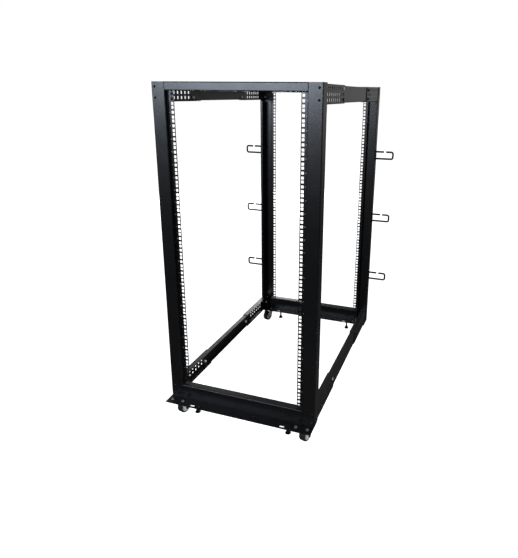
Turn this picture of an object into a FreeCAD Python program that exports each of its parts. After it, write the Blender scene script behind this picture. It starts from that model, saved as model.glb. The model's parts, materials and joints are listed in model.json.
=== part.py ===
"""Four post open frame rack with adjustable depth, on swivel casters.

Frame: millimetres, +Z up, +X to the right seen from the front, the front faces -Y.
The origin is on the floor, below the middle of the rack's bounding box.

Each handed sub-part is drawn about the middle of the frame that carries it: x = 0 is the
middle of the rack's width and y = 0 is the plane that the equipment bolts to. The rear
frame's posts, sleeves and top beam are the front frame's turned half a turn about Z.
"""
import FreeCAD
import Part
import Sketcher
import math
import os

os.makedirs("parts", exist_ok=True)

doc = FreeCAD.newDocument("open_frame_rack")
sheet = doc.addObject("Spreadsheet::Sheet", "Sizes")

# ------------------------------------------------------------------ driving dimensions

SIZES = {
    # equipment space
    "units_high": 25,           # rack units from the lowest to the highest
    "unit_pitch": 44.45,        # height of one rack unit
    "hole_first": 6.35,         # lowest hole of a unit above the unit's lower edge
    "hole_step": 15.875,        # between the three holes of a unit
    "hole_side": 9.5,           # square hole for a cage nut
    "column_spacing": 465.1,    # between the left and right columns of holes
    "opening_width": 450,       # clear width between the mounting flanges
    "mount_depth": 950,         # from the front mounting plane to the rear one
    "flange_trim": 2,           # the flange runs past the first and last unit by this
    # posts and beams
    "rack_width": 600,
    "post_sheet": 2,
    "bend_inside": 1.5,         # inside radius of every fold in sheet metal
    "face_width": 50,           # outer face of a post
    "face_recess": 15,          # mounting plane behind the outer face
    "post_depth": 45,
    "post_lip": 12,             # edge of the side wall folded inwards
    "lip_relief": 6,            # the lip stops this far from a side rail
    "top_beam_height": 29,
    "top_beam_gap": 3.25,       # from the highest unit to the beam
    "top_beam_lower_leg": 32,   # depth of the beam's lower leg
    "base_beam_height": 56,
    "base_beam_gap": 3,         # from the beam to the lowest unit
    "base_beam_depth": 30,
    # base plates
    "plate_sheet": 3,
    "plate_depth": 80,
    "toe": 50,                  # plate in front of the base beam
    "slot_spacing": 372,
    "slot_long": 20,
    "slot_wide": 9,
    "slot_from_face": 38,       # slot's centre line in front of the beam's face
    # side rails
    "sleeve_sheet": 2,
    "sleeve_height": 62,
    "sleeve_leg": 27,
    "sleeve_top_drop": 3.5,     # top sleeve below the post's top
    "front_sleeve_reach": 265,  # front mounting plane to the sleeve's mouth
    "rear_sleeve_reach": 290,
    "middle_sheet": 2,
    "middle_leg": 22,
    "front_overlap": 40,        # middle rail inside the front sleeve
    "rear_overlap": 70,         # middle rail inside the rear sleeve
    "slide_gap": 0.4,           # between a middle rail and its sleeve, each way
    "perforation": 10,          # square hole for a square-necked bolt
    "perforation_pitch": 25.4,
    "perforation_columns": 9,
    "perforation_row_step": 18,
    "front_bolt_setback": 21,   # mouth of the front sleeve to its bolt column
    "rear_bolt_setback": 23,
    # cable hooks
    "hook_units": 7,            # rack units between hooks
    "hook_height": 205,         # lowest hook above the lowest unit
    "hook_reach": 88,
    "hook_tall": 40,
    "hook_wire": 6,
    "hook_bend": 8,             # radius of the wire's centre line
    "hook_gap": 10,
    "hook_plate_tall": 52,
    "hook_plate_wide": 18,
    "hook_plate_sheet": 2,
    "hook_from_plane": 10,      # hook in front of the rear mounting plane
    # levelling feet
    "foot_spacing": 386,
    "foot_behind_face": 12,     # the stem rises inside the base beam
    "foot_radius": 11,
    "foot_thick": 7,
    "foot_rim": 3,              # height of the foot's upright edge
    "foot_hex_flats": 13,
    "foot_hex_tall": 5,
    "foot_stem_radius": 4,
    "foot_stem_long": 82,
    "foot_above_floor": 10,
    # casters
    "caster_height": 70,        # floor to the underside of the base plate
    "caster_spacing": 517,
    "caster_from_face": 4.5,
    "caster_trail": 14,
    "caster_turn": 15,          # degrees clockwise, seen from above
    "caster_plate": 60,         # side of the square mounting plate
    "caster_plate_sheet": 2.5,
    "king_pin_radius": 5,
    "wheel_radius": 25,
    "wheel_wide": 26,
    "tread_drop": 2.5,          # bevel of the tread, down the tyre's side
    "tread_side": 5,            # and across the tread
    "hub_radius": 18,
    "hub_wide": 28,
    "hub_rim": 3,               # the hub's rim beside its recess
    "hub_boss_radius": 6,
    "hub_recess": 3,            # depth of the dish between the boss and the rim
    "axle_radius": 3,
    "fork_sheet": 2.5,
    "fork_bend": 3,             # inside radius between the fork's top and its cheeks
    "cheek_radius": 12,
    "swivel_radius": 20,
    "swivel_bevel": 3,
    "swivel_thick": 7,
    "fork_seat": 1,             # the fork's top is sunk into the swivel head by this
    # running fits
    "axle_gap": 0.1,            # an axle in its bore, all round
    "stem_gap": 0.3,            # a stem or king pin in its hole, all round
    "hub_gap": 1.5,             # hub to the fork's cheek
    "seat_gap": 0.3,            # a swivel head below its plate
}

for row, (alias, size) in enumerate(SIZES.items(), start=1):
    sheet.set(f"A{row}", alias)
    sheet.set(f"B{row}", str(size))
    sheet.setAlias(f"B{row}", alias)
doc.recompute()


def cell(alias):
    """Reference to one cell of the sheet, for use in an expression."""
    return f"Sizes.{alias}"


def value(expression):
    """What an expression on the sheet comes to, in millimetres."""
    result = sheet.evalExpression(expression)
    return float(getattr(result, "Value", result))


# -------------------------------------------------------------- places on the shared frame

FRONT_PLANE = "((Sizes.toe - Sizes.mount_depth) / 2)"
REAR_PLANE = "((Sizes.toe + Sizes.mount_depth) / 2)"
HALF_WIDTH = "(Sizes.rack_width / 2)"
PLATE_TOP = "(Sizes.caster_height + Sizes.plate_sheet)"
UNITS_BOTTOM = f"({PLATE_TOP} + Sizes.base_beam_height + Sizes.base_beam_gap)"
UNITS_TOP = f"({UNITS_BOTTOM} + Sizes.units_high * Sizes.unit_pitch)"
TOP_BEAM_BOTTOM = f"({UNITS_TOP} + Sizes.top_beam_gap)"
RACK_TOP = f"({TOP_BEAM_BOTTOM} + Sizes.top_beam_height)"
FACE = "(-Sizes.face_recess)"                    # outer face of a frame, from its plane
FACE_INNER_EDGE = f"({HALF_WIDTH} - Sizes.face_width)"
SLEEVE_OUTER = f"({HALF_WIDTH} - Sizes.post_sheet)"
SLEEVE_START = "(Sizes.post_sheet - Sizes.face_recess)"
TOP_SLEEVE_BOTTOM = f"({RACK_TOP} - Sizes.sleeve_top_drop - Sizes.sleeve_height)"
BASE_SLEEVE_BOTTOM = PLATE_TOP
CASTER_FROM_PLANE = f"({FACE} - Sizes.caster_from_face)"
CASTER_PLATE_LOW = "(Sizes.caster_height - Sizes.caster_plate_sheet)"
FOOT_FROM_PLANE = f"({FACE} + Sizes.foot_behind_face)"

FRONT = "front"
REAR = "rear"
LEFT = "left"
RIGHT = "right"


# ------------------------------------------------------------------------ drawing helpers

def plane(body, role):
    """The body's own origin plane or axis with this role."""
    return next(o for o in body.Origin.OriginFeatures if o.Role == role)


def new_body(label):
    """An empty body whose label is the name of its node."""
    body = doc.addObject("PartDesign::Body", "Body")
    body.Label = label
    return body


def new_sketch(body, role, offset="0"):
    """A sketch on one of the body's origin planes, moved along the plane's normal."""
    sketch = body.newObject("Sketcher::SketchObject", "Outline")
    sketch.AttachmentSupport = (plane(body, role), [""])
    sketch.MapMode = "FlatFace"
    sketch.setExpression(".AttachmentOffset.Base.z", offset)
    return sketch


def pin_vertex(sketch, line, end, x_expression, y_expression):
    """Tie one end of a line to a place given by two expressions."""
    for kind, expression in (("DistanceX", x_expression), ("DistanceY", y_expression)):
        index = sketch.addConstraint(
            Sketcher.Constraint(kind, -1, 1, line, end, value(expression)))
        sketch.setExpression(f"Constraints[{index}]", expression)


def draw_polygon(sketch, corners):
    """A closed outline through corners, each an (x, y) pair of expressions."""
    points = [FreeCAD.Vector(value(x), value(y), 0) for x, y in corners]
    first = sketch.GeometryCount
    count = len(points)
    for index in range(count):
        sketch.addGeometry(Part.LineSegment(points[index], points[(index + 1) % count]))
    for index in range(count):
        following = first + (index + 1) % count
        sketch.addConstraint(Sketcher.Constraint("Coincident", first + index, 2, following, 1))
        pin_vertex(sketch, first + index, 1, *corners[index])


def draw_rectangle(sketch, x_low, x_high, y_low, y_high):
    """A rectangle between four expressions."""
    draw_polygon(sketch, [(x_low, y_low), (x_high, y_low), (x_high, y_high), (x_low, y_high)])


def draw_circle(sketch, x_centre, y_centre, radius):
    """A circle with its centre and radius tied to expressions."""
    centre = FreeCAD.Vector(value(x_centre), value(y_centre), 0)
    index = sketch.addGeometry(Part.Circle(centre, FreeCAD.Vector(0, 0, 1), value(radius)))
    constraint = sketch.addConstraint(Sketcher.Constraint("Radius", index, value(radius)))
    sketch.setExpression(f"Constraints[{constraint}]", radius)
    pin_vertex(sketch, index, 3, x_centre, y_centre)


def draw_slot(sketch, x_centre, y_centre, length, width):
    """A round-ended slot along the sketch's x axis, tied to expressions."""
    radius = f"(({width}) / 2)"
    reach = f"((({length}) - ({width})) / 2)"
    middle = value(y_centre)
    low = middle - value(radius)
    high = middle + value(radius)
    left = value(f"{x_centre} - {reach}")
    right = value(f"{x_centre} + {reach}")
    arcs = []
    for x_place, start_angle in ((right, -math.pi / 2), (left, math.pi / 2)):
        circle = Part.Circle(FreeCAD.Vector(x_place, middle, 0), FreeCAD.Vector(0, 0, 1),
                             value(radius))
        arcs.append(sketch.addGeometry(
            Part.ArcOfCircle(circle, start_angle, start_angle + math.pi)))
    top = sketch.addGeometry(Part.LineSegment(
        FreeCAD.Vector(right, high, 0), FreeCAD.Vector(left, high, 0)))
    bottom = sketch.addGeometry(Part.LineSegment(
        FreeCAD.Vector(left, low, 0), FreeCAD.Vector(right, low, 0)))
    for line, line_end, arc, arc_end in ((top, 1, arcs[0], 2), (top, 2, arcs[1], 1),
                                         (bottom, 1, arcs[1], 2), (bottom, 2, arcs[0], 1)):
        sketch.addConstraint(Sketcher.Constraint("Tangent", line, line_end, arc, arc_end))
    for arc, sign in zip(arcs, ("+", "-")):
        constraint = sketch.addConstraint(Sketcher.Constraint("Radius", arc, value(radius)))
        sketch.setExpression(f"Constraints[{constraint}]", radius)
        pin_vertex(sketch, arc, 3, f"{x_centre} {sign} {reach}", y_centre)


def folded_corners(path, thickness, bend):
    """Corners of a sheet folded along a path, material on the path's left, in order.

    A square corner is (x, y). A rounded one is (x, y, radius, entry, exit), where x and y
    are the centre of its bend, and entry and exit are unit steps from there to the ends of
    its arc.
    """
    points = [(value(x), value(y)) for x, y in path]
    normals = []
    for (x0, y0), (x1, y1) in zip(points, points[1:]):
        length = math.hypot(x1 - x0, y1 - y0)
        normals.append((round((y0 - y1) / length), round((x1 - x0) / length)))

    def beside(index, normal):
        x, y = path[index]
        return (f"{x} + ({normal[0]}) * {thickness}", f"{y} + ({normal[1]}) * {thickness}")

    near_side = []
    far_side = []
    outer_radius = f"({bend} + {thickness})"
    for (x, y), before, after in zip(path[1:-1], normals, normals[1:]):
        side = before[0] * after[1] - before[1] * after[0]     # 1 to the left, -1 to the right
        near, far = (outer_radius, bend) if side > 0 else (bend, outer_radius)
        centre = (f"{x} + ({side * (before[0] + after[0])}) * {near}",
                  f"{y} + ({side * (before[1] + after[1])}) * {near}")
        first = (-side * before[0], -side * before[1])
        last = (-side * after[0], -side * after[1])
        near_side.append((*centre, near, first, last))
        far_side.append((*centre, far, last, first))
    return [path[0], *near_side, path[-1],
            beside(-1, normals[-1]), *far_side[::-1], beside(0, normals[0])]


def corner_ends(corner):
    """Where the outline reaches a corner and where it leaves it."""
    x, y = value(corner[0]), value(corner[1])
    if len(corner) == 2:
        return FreeCAD.Vector(x, y, 0), FreeCAD.Vector(x, y, 0)
    radius = value(corner[2])
    return tuple(FreeCAD.Vector(x + radius * step[0], y + radius * step[1], 0)
                 for step in corner[3:])


def draw_outline(sketch, corners):
    """A closed outline through square and rounded corners, as folded_corners gives them."""
    count = len(corners)
    ends = [corner_ends(corner) for corner in corners]
    lines = [sketch.addGeometry(Part.LineSegment(ends[index][1], ends[(index + 1) % count][0]))
             for index in range(count)]
    for index, corner in enumerate(corners):
        before, after = lines[index - 1], lines[index]
        if len(corner) == 2:
            sketch.addConstraint(Sketcher.Constraint("Coincident", before, 2, after, 1))
            pin_vertex(sketch, after, 1, *corner)
            continue
        x, y, radius, first, last = corner
        anticlockwise = first[0] * last[1] - first[1] * last[0] > 0
        low, high = (first, last) if anticlockwise else (last, first)
        start_angle = math.atan2(low[1], low[0])
        sweep = math.acos(low[0] * high[0] + low[1] * high[1])
        circle = Part.Circle(FreeCAD.Vector(value(x), value(y), 0), FreeCAD.Vector(0, 0, 1),
                             value(radius))
        arc = sketch.addGeometry(Part.ArcOfCircle(circle, start_angle, start_angle + sweep))
        entry_end, exit_end = (1, 2) if anticlockwise else (2, 1)
        sketch.addConstraint(Sketcher.Constraint("Tangent", before, 2, arc, entry_end))
        sketch.addConstraint(Sketcher.Constraint("Tangent", after, 1, arc, exit_end))
        constraint = sketch.addConstraint(Sketcher.Constraint("Radius", arc, value(radius)))
        sketch.setExpression(f"Constraints[{constraint}]", radius)
        pin_vertex(sketch, arc, 3, x, y)


def mirrored(corners, hand):
    """Square and rounded corners with x multiplied by the hand."""
    turned = []
    for corner in corners:
        flipped = [f"({hand}) * ({corner[0]})", corner[1], *corner[2:3]]
        flipped += [(hand * step[0], step[1]) for step in corner[3:]]
        turned.append(tuple(flipped))
    return turned


def draw_sheet(sketch, path, thickness, hand=1):
    """The outline of a folded sheet, drawn at +X for the hand 1 and at -X for -1."""
    corners = folded_corners(path, thickness, cell("bend_inside"))
    draw_outline(sketch, mirrored(corners, hand))


def pad(body, sketch, length, both_ways=False):
    """Extrude a sketch along its plane's normal."""
    feature = body.newObject("PartDesign::Pad", "Pad")
    feature.Profile = sketch
    feature.Midplane = both_ways
    feature.setExpression("Length", length)
    doc.recompute()
    return feature


def cut(body, sketch, length):
    """Cut a sketch out of the body, both ways from its plane, and prove that it cut."""
    before = body.Shape.Volume
    feature = body.newObject("PartDesign::Pocket", "Pocket")
    feature.Profile = sketch
    feature.Midplane = True
    feature.setExpression("Length", length)
    doc.recompute()
    if not body.Shape.Volume < before - 1e-3:
        raise RuntimeError(f"{body.Label}: {feature.Name} cut nothing")
    return feature


def repeat(body, feature, role, occurrences, length):
    """Repeat a feature in a row along one of the body's axes."""
    pattern = body.newObject("PartDesign::LinearPattern", "Row")
    pattern.Originals = [feature]
    pattern.Direction = (plane(body, role), [""])
    pattern.setExpression("Occurrences", occurrences)
    pattern.setExpression("Length", length)
    body.Tip = pattern
    doc.recompute()
    return pattern


def revolve(body, sketch, role):
    """Turn a sketch all the way round one of the body's axes."""
    feature = body.newObject("PartDesign::Revolution", "Turned")
    feature.Profile = sketch
    feature.ReferenceAxis = (plane(body, role), [""])
    feature.Angle = 360
    doc.recompute()
    return feature


def place(body, x="0", y="0", z="0", turn=0):
    """Put the body where expressions say, turned about Z by a number of degrees."""
    body.Placement = FreeCAD.Placement(
        FreeCAD.Vector(0, 0, 0), FreeCAD.Rotation(FreeCAD.Vector(0, 0, 1), turn))
    body.setExpression(".Placement.Base.x", x)
    body.setExpression(".Placement.Base.y", y)
    body.setExpression(".Placement.Base.z", z)


def turn_clockwise(body):
    """Turn a placed body about Z by the angle at which the casters stand."""
    body.Placement.Rotation = FreeCAD.Rotation(FreeCAD.Vector(0, 0, -1), value("Sizes.caster_turn"))
    body.setExpression(".Placement.Rotation.Angle", "Sizes.caster_turn")


def hand_of(side, end):
    """+1 where a sub-part is drawn at +X of its frame, -1 where it is drawn at -X."""
    drawn_right = (side == RIGHT) == (end == FRONT)
    return 1 if drawn_right else -1


def place_in_frame(body, end):
    """Stand a sub-part that was drawn about the mounting plane in the front or rear frame."""
    if end == FRONT:
        place(body, y=FRONT_PLANE)
    else:
        place(body, y=REAR_PLANE, turn=180)


# ------------------------------------------------------------------------------ sub-parts

def make_post(side, end):
    """A folded post: mounting flange with square holes, step, outer face, side wall, lip."""
    hand = hand_of(side, end)
    body = new_body(f"{end}_{side}_post")
    half_opening = "Sizes.opening_width / 2"
    back = f"{FACE} + Sizes.post_depth"

    # Sheet beside a fold that stops short ends where the bend would begin.
    bend_starts = "(Sizes.post_sheet + Sizes.bend_inside)"
    outer = new_sketch(body, "XY_Plane", PLATE_TOP)
    draw_sheet(outer, [
        (FACE_INNER_EDGE, "-Sizes.bend_inside"),
        (FACE_INNER_EDGE, FACE),
        (HALF_WIDTH, FACE),
        (HALF_WIDTH, f"{back} - {bend_starts}"),
    ], "Sizes.post_sheet", hand)
    pad(body, outer, f"{RACK_TOP} - {PLATE_TOP}")

    flange = new_sketch(body, "XY_Plane", f"{UNITS_BOTTOM} - Sizes.flange_trim")
    draw_sheet(flange, [
        (half_opening, "0"),
        (FACE_INNER_EDGE, "0"),
        (FACE_INNER_EDGE, f"{FACE} / 2"),
    ], "Sizes.post_sheet", hand)
    pad(body, flange, "Sizes.units_high * Sizes.unit_pitch + 2 * Sizes.flange_trim")

    lip_low = f"({BASE_SLEEVE_BOTTOM} + Sizes.sleeve_height + Sizes.lip_relief)"
    lip_high = f"({TOP_SLEEVE_BOTTOM} - Sizes.lip_relief)"
    lip = new_sketch(body, "XY_Plane", lip_low)
    draw_sheet(lip, [
        (HALF_WIDTH, f"{back} - Sizes.post_lip"),
        (HALF_WIDTH, back),
        (f"{HALF_WIDTH} - Sizes.post_lip", back),
    ], "Sizes.post_sheet", hand)
    pad(body, lip, f"{lip_high} - {lip_low}")

    holes = new_sketch(body, "XZ_Plane")
    half_side = "Sizes.hole_side / 2"
    column = f"({hand}) * Sizes.column_spacing / 2"
    for index in range(3):
        height = f"{UNITS_BOTTOM} + Sizes.hole_first + {index} * Sizes.hole_step"
        draw_rectangle(holes, f"{column} - {half_side}", f"{column} + {half_side}",
                       f"{height} - {half_side}", f"{height} + {half_side}")
    unit_holes = cut(body, holes, "4 * Sizes.post_sheet")
    repeat(body, unit_holes, "Z_Axis", "Sizes.units_high",
           "(Sizes.units_high - 1) * Sizes.unit_pitch")
    place_in_frame(body, end)
    return body


def add_end_folds(body, depth, low, high):
    """Fold a beam's face back at both ends, where the screws to the posts' steps go."""
    for hand in (-1, 1):
        start = FACE_INNER_EDGE if hand < 0 else f"({FACE_INNER_EDGE} - Sizes.post_sheet)"
        fold = new_sketch(body, "YZ_Plane", f"({hand}) * {start}")
        draw_rectangle(fold, f"{FACE} + Sizes.post_sheet / 2", f"{FACE} + {depth}", low, high)
        pad(body, fold, "Sizes.post_sheet")


def make_top_beam(end):
    """A channel between the posts, with its ends folded back against their steps."""
    body = new_body(f"{end}_top_beam")
    back = f"{FACE} + Sizes.post_depth"
    low = TOP_BEAM_BOTTOM
    profile = new_sketch(body, "YZ_Plane")
    draw_sheet(profile, [
        (back, RACK_TOP),
        (FACE, RACK_TOP),
        (FACE, low),
        (f"{FACE} + Sizes.top_beam_lower_leg", low),
    ], "Sizes.post_sheet")
    pad(body, profile, f"2 * {FACE_INNER_EDGE}", both_ways=True)
    inside_bend = "(Sizes.post_sheet + Sizes.bend_inside)"
    add_end_folds(body, "Sizes.top_beam_lower_leg", f"{low} + {inside_bend}",
                  f"{RACK_TOP} - {inside_bend}")
    place_in_frame(body, end)
    return body


def make_base_beam(end):
    """An angle between the posts: a deep face and a top, both ends closed by folds."""
    body = new_body(f"{end}_base_beam")
    high = f"({PLATE_TOP} + Sizes.base_beam_height)"
    back = f"{FACE} + Sizes.base_beam_depth"
    profile = new_sketch(body, "YZ_Plane")
    draw_sheet(profile, [
        (back, high),
        (FACE, high),
        (FACE, PLATE_TOP),
    ], "Sizes.post_sheet")
    pad(body, profile, f"2 * {FACE_INNER_EDGE}", both_ways=True)
    add_end_folds(body, "Sizes.base_beam_depth", PLATE_TOP,
                  f"{high} - Sizes.post_sheet - Sizes.bend_inside")
    place(body, y=FRONT_PLANE if end == FRONT else REAR_PLANE)
    return body


def make_base_plate(end):
    """The plate that the posts stand on, holed for feet and floor bolts.

    The casters' mounting plates are bolted flat against its underside and belong to it; each
    has a blind bore for the fork's king pin.
    """
    body = new_body(f"{end}_base_plate")
    outline = new_sketch(body, "XY_Plane", "Sizes.caster_height")
    front_edge = f"({FACE} - Sizes.toe)"
    draw_rectangle(outline, f"-{HALF_WIDTH}", HALF_WIDTH,
                   front_edge, f"{front_edge} + Sizes.plate_depth")
    pad(body, outline, "Sizes.plate_sheet")

    openings = new_sketch(body, "XY_Plane", "Sizes.caster_height")
    mountings = new_sketch(body, "XY_Plane", CASTER_PLATE_LOW)
    bores = new_sketch(body, "XY_Plane", CASTER_PLATE_LOW)
    half_side = "Sizes.caster_plate / 2"
    for hand in (-1, 1):
        draw_slot(openings, f"({hand}) * Sizes.slot_spacing / 2",
                  f"{FACE} - Sizes.slot_from_face", cell("slot_long"), cell("slot_wide"))
        draw_circle(openings, f"({hand}) * Sizes.foot_spacing / 2",
                    FOOT_FROM_PLANE, "Sizes.foot_stem_radius + Sizes.stem_gap")
        caster_x = f"({hand}) * Sizes.caster_spacing / 2"
        draw_rectangle(mountings, f"{caster_x} - {half_side}", f"{caster_x} + {half_side}",
                       f"{CASTER_FROM_PLANE} - {half_side}", f"{CASTER_FROM_PLANE} + {half_side}")
        draw_circle(bores, caster_x, CASTER_FROM_PLANE, "Sizes.king_pin_radius + Sizes.stem_gap")
    cut(body, openings, "4 * Sizes.plate_sheet")
    pad(body, mountings, "Sizes.caster_plate_sheet")
    cut(body, bores, "2 * Sizes.caster_plate_sheet")
    place(body, y=FRONT_PLANE if end == FRONT else REAR_PLANE)
    return body


def make_sleeve(side, end, level):
    """A perforated channel inside the post's side wall, its open side towards the middle.

    Its web is folded inwards at the post's end, into a tab that the post's screws hold.
    """
    hand = hand_of(side, end)
    body = new_body(f"{end}_{side}_{level}_sleeve")
    low = BASE_SLEEVE_BOTTOM if level == "base" else TOP_SLEEVE_BOTTOM
    high = f"({low} + Sizes.sleeve_height)"
    inner_edge = f"({SLEEVE_OUTER} - Sizes.sleeve_leg)"
    reach = "Sizes.front_sleeve_reach" if end == FRONT else "Sizes.rear_sleeve_reach"
    setback = "Sizes.front_bolt_setback" if end == FRONT else "Sizes.rear_bolt_setback"

    inside_bend = "(Sizes.sleeve_sheet + Sizes.bend_inside)"
    # The sketch plane's normal is -Y, so the channel starts at its mouth.
    profile = new_sketch(body, "XZ_Plane", f"-{reach}")
    draw_sheet(profile, [
        (inner_edge, low),
        (SLEEVE_OUTER, low),
        (SLEEVE_OUTER, high),
        (inner_edge, high),
    ], "Sizes.sleeve_sheet", hand)
    pad(body, profile, f"{reach} - {SLEEVE_START} - {inside_bend}")

    tab = new_sketch(body, "XY_Plane", f"{low} + {inside_bend}")
    draw_sheet(tab, [
        (inner_edge, SLEEVE_START),
        (SLEEVE_OUTER, SLEEVE_START),
        (SLEEVE_OUTER, f"{SLEEVE_START} + 2 * {inside_bend}"),
    ], "Sizes.sleeve_sheet", hand)
    pad(body, tab, f"Sizes.sleeve_height - 2 * {inside_bend}")

    holes = new_sketch(body, "YZ_Plane")
    half_side = "Sizes.perforation / 2"
    last_column = f"({reach} - {setback})"
    first_column = (f"({last_column} - (Sizes.perforation_columns - 1)"
                    " * Sizes.perforation_pitch)")
    for index in (-1, 0, 1):
        height = f"{low} + Sizes.sleeve_height / 2 + ({index}) * Sizes.perforation_row_step"
        draw_rectangle(holes, f"{first_column} - {half_side}", f"{first_column} + {half_side}",
                       f"{height} - {half_side}", f"{height} + {half_side}")
    column = cut(body, holes, "2 * Sizes.rack_width")
    repeat(body, column, "Y_Axis", "Sizes.perforation_columns",
           "(Sizes.perforation_columns - 1) * Sizes.perforation_pitch")
    place_in_frame(body, end)
    return body


def make_middle_rail(side, level):
    """A plain channel that runs inside the front and rear sleeves of its side and level."""
    hand = 1 if side == RIGHT else -1
    body = new_body(f"{side}_{level}_middle_rail")
    inset = "(Sizes.sleeve_sheet + Sizes.slide_gap)"
    sleeve_low = BASE_SLEEVE_BOTTOM if level == "base" else TOP_SLEEVE_BOTTOM
    low = f"({sleeve_low} + {inset})"
    high = f"({sleeve_low} + Sizes.sleeve_height - {inset})"
    outer = f"({SLEEVE_OUTER} - {inset})"
    inner_edge = f"({outer} - Sizes.middle_leg)"
    front_end = "(Sizes.front_sleeve_reach - Sizes.front_overlap)"
    rear_end = "(Sizes.mount_depth - Sizes.rear_sleeve_reach + Sizes.rear_overlap)"
    profile = new_sketch(body, "XZ_Plane", f"-{rear_end}")
    draw_sheet(profile, [
        (inner_edge, low),
        (outer, low),
        (outer, high),
        (inner_edge, high),
    ], "Sizes.middle_sheet", hand)
    pad(body, profile, f"{rear_end} - {front_end}")
    place(body, y=FRONT_PLANE)
    return body


def add_wire_run(body, x, z, direction, length):
    """Add a straight run of the hook's wire from a place in the body's XZ plane."""
    run = body.newObject("PartDesign::AdditiveCylinder", "Run")
    run.setExpression("Radius", "Sizes.hook_wire / 2")
    run.setExpression("Height", length)
    run.Placement = FreeCAD.Placement(
        FreeCAD.Vector(0, 0, 0), FreeCAD.Rotation(FreeCAD.Vector(0, 0, 1), direction))
    run.setExpression(".Placement.Base.x", x)
    run.setExpression(".Placement.Base.z", z)
    doc.recompute()


def add_wire_bend(body, x, z, first, last):
    """Add a quarter bend of the hook's wire about a centre in the body's XZ plane."""
    bend = body.newObject("PartDesign::AdditiveTorus", "Bend")
    bend.setExpression("Radius1", "Sizes.hook_bend")
    bend.setExpression("Radius2", "Sizes.hook_wire / 2")
    bend.Angle3 = 90
    bend.Placement = FreeCAD.Placement(
        FreeCAD.Vector(0, 0, 0), FreeCAD.Rotation(first, last, first.cross(last)))
    bend.setExpression(".Placement.Base.x", x)
    bend.setExpression(".Placement.Base.z", z)
    doc.recompute()


def make_hook(side, number):
    """A wire ring with a gap in its upper run, welded to a plate on the rear post."""
    hand = 1 if side == RIGHT else -1
    outwards = FreeCAD.Vector(hand, 0, 0)
    upwards = FreeCAD.Vector(0, 0, 1)
    body = new_body(f"{side}_cable_hook_{number}")
    half_tall = "Sizes.hook_plate_tall / 2"
    plate = new_sketch(body, "YZ_Plane", "0" if hand > 0 else "-Sizes.hook_plate_sheet")
    draw_rectangle(plate, "-Sizes.hook_plate_wide / 2", "Sizes.hook_plate_wide / 2",
                   f"-{half_tall}", half_tall)
    pad(body, plate, "Sizes.hook_plate_sheet")

    weld = "(Sizes.hook_plate_sheet / 2)"
    run_height = "((Sizes.hook_tall - Sizes.hook_wire) / 2)"
    far = "(Sizes.hook_reach - Sizes.hook_wire / 2)"
    bend_start = f"({far} - Sizes.hook_bend)"
    gap_near = "((Sizes.hook_reach - Sizes.hook_gap) / 2)"
    gap_far = "((Sizes.hook_reach + Sizes.hook_gap) / 2)"
    bend_height = f"({run_height} - Sizes.hook_bend)"
    add_wire_run(body, f"{hand} * {weld}", run_height, outwards, f"{gap_near} - {weld}")
    add_wire_run(body, f"{hand} * {weld}", f"-{run_height}", outwards, f"{bend_start} - {weld}")
    add_wire_bend(body, f"{hand} * {bend_start}", f"-{bend_height}", -upwards, outwards)
    add_wire_run(body, f"{hand} * {far}", f"-{bend_height}", upwards, f"2 * {bend_height}")
    add_wire_bend(body, f"{hand} * {bend_start}", bend_height, outwards, upwards)
    add_wire_run(body, f"{hand} * {gap_far}", run_height, outwards, f"{bend_start} - {gap_far}")
    height = f"{UNITS_BOTTOM} + Sizes.hook_height"
    place(body, x=f"({hand}) * {HALF_WIDTH}", y=f"{REAR_PLANE} - Sizes.hook_from_plane",
          z=f"{height} + ({number} - 1) * Sizes.hook_units * Sizes.unit_pitch")
    return body


def corner_places(spacing, from_plane):
    """The four places of casters or feet as (end, side, x, y), in expressions."""
    places = []
    for end, frame_plane in ((FRONT, FRONT_PLANE), (REAR, REAR_PLANE)):
        for side, sign in ((LEFT, "-1"), (RIGHT, "1")):
            places.append((end, side, f"({sign}) * {spacing} / 2",
                           f"{frame_plane} + {from_plane}"))
    return places


def make_levelling_foot(end, side, x, y):
    """A round foot with a hexagon to turn it by, on a stem that screws through the plate."""
    body = new_body(f"{end}_{side}_levelling_foot")
    outline = new_sketch(body, "XZ_Plane")
    draw_polygon(outline, [
        ("0", "0"),
        ("Sizes.foot_radius", "0"),
        ("Sizes.foot_radius", "Sizes.foot_rim"),
        ("Sizes.foot_hex_flats / 2", "Sizes.foot_thick"),
        ("Sizes.foot_stem_radius", "Sizes.foot_thick"),
        ("Sizes.foot_stem_radius", "Sizes.foot_stem_long"),
        ("0", "Sizes.foot_stem_long"),
    ])
    revolve(body, outline, "Z_Axis")
    hexagon = new_sketch(body, "XY_Plane", "Sizes.foot_thick")
    corner_radius = "Sizes.foot_hex_flats / sqrt(3)"
    draw_polygon(hexagon, [
        (f"{corner_radius} * cos({angle})", f"{corner_radius} * sin({angle})")
        for angle in range(0, 360, 60)])
    pad(body, hexagon, "Sizes.foot_hex_tall")
    place(body, x=x, y=y, z="Sizes.foot_above_floor")
    return body


def trail_sign(end):
    """Front casters trail towards the rear and rear casters towards the front."""
    return "1" if end == FRONT else "-1"


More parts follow.
